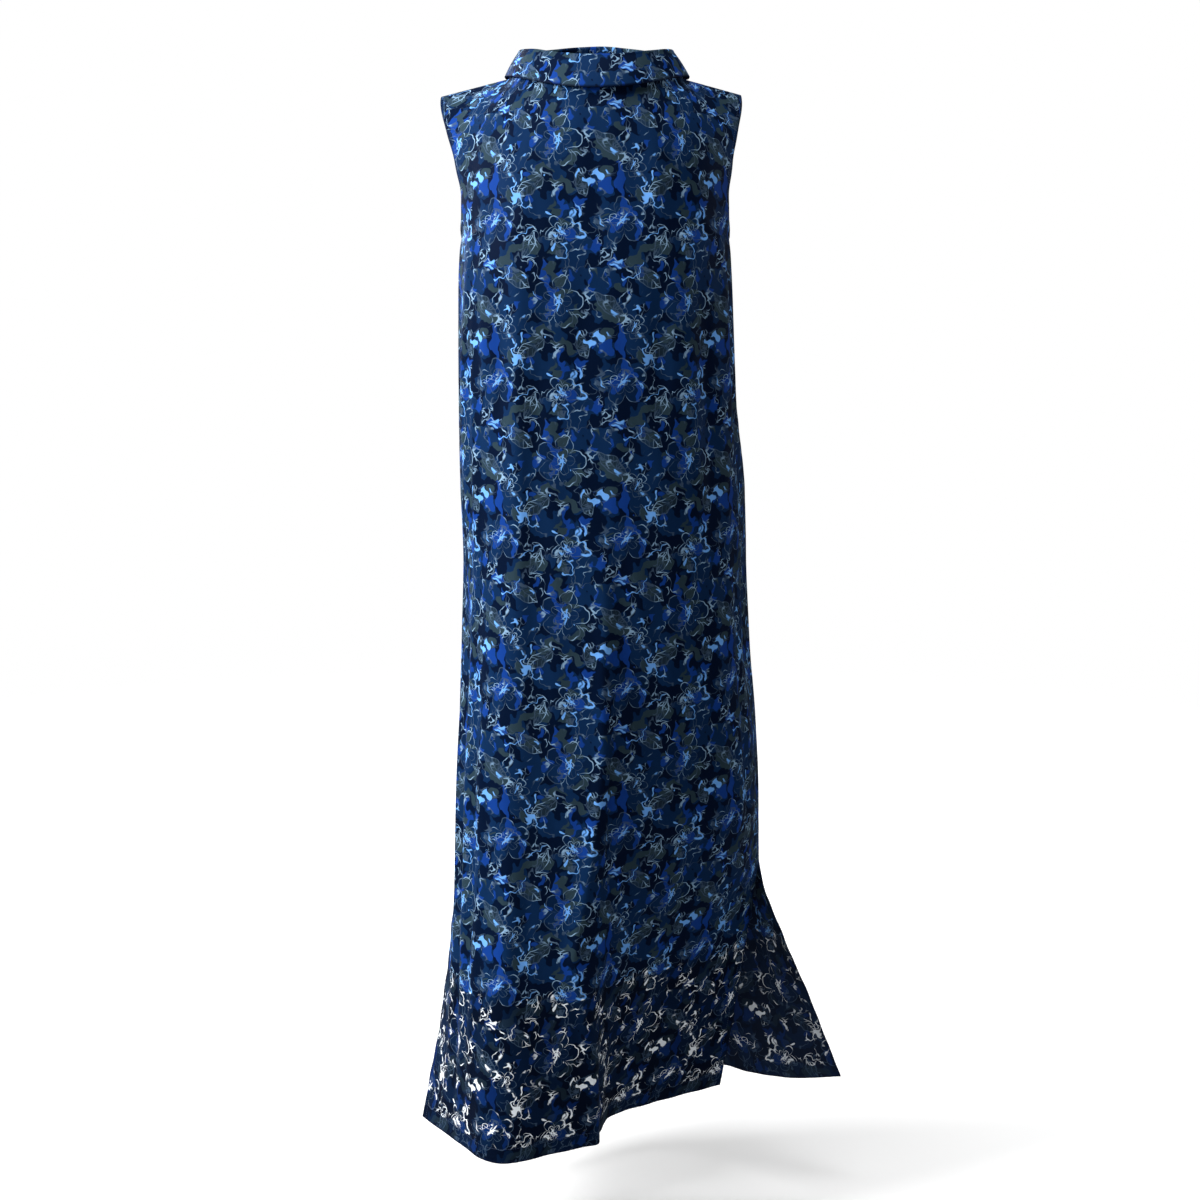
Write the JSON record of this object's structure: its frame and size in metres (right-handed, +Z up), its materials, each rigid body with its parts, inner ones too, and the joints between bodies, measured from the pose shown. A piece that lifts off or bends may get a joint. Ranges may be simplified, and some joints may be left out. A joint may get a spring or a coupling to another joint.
{
  "type": "sleeveless turtleneck maxi dress",
  "caption": "Sleeveless straight maxi dress hanging as worn, with a turned-down funnel collar, open armholes and a hem slit on each side.",
  "frame": {"origin": "middle of the shoulder line, at the height where the shoulders meet the neck, which is where the wearer carries the dress", "axes": "+X towards the wearer's left, +Y towards the back, +Z up along the length of the dress"},
  "size_m": [0.558, 0.3151, 1.3647],
  "materials": {
    "front_cloth": "printed, softly glossy cotton",
    "back_cloth": "printed, softly glossy cotton",
    "collar_cloth": "printed, softly glossy cotton"
  },
  "bodies": {
    "root": {"front_panel": "front_cloth", "back_panel": "back_cloth", "collar": "collar_cloth"}
  },
  "joints": []
}
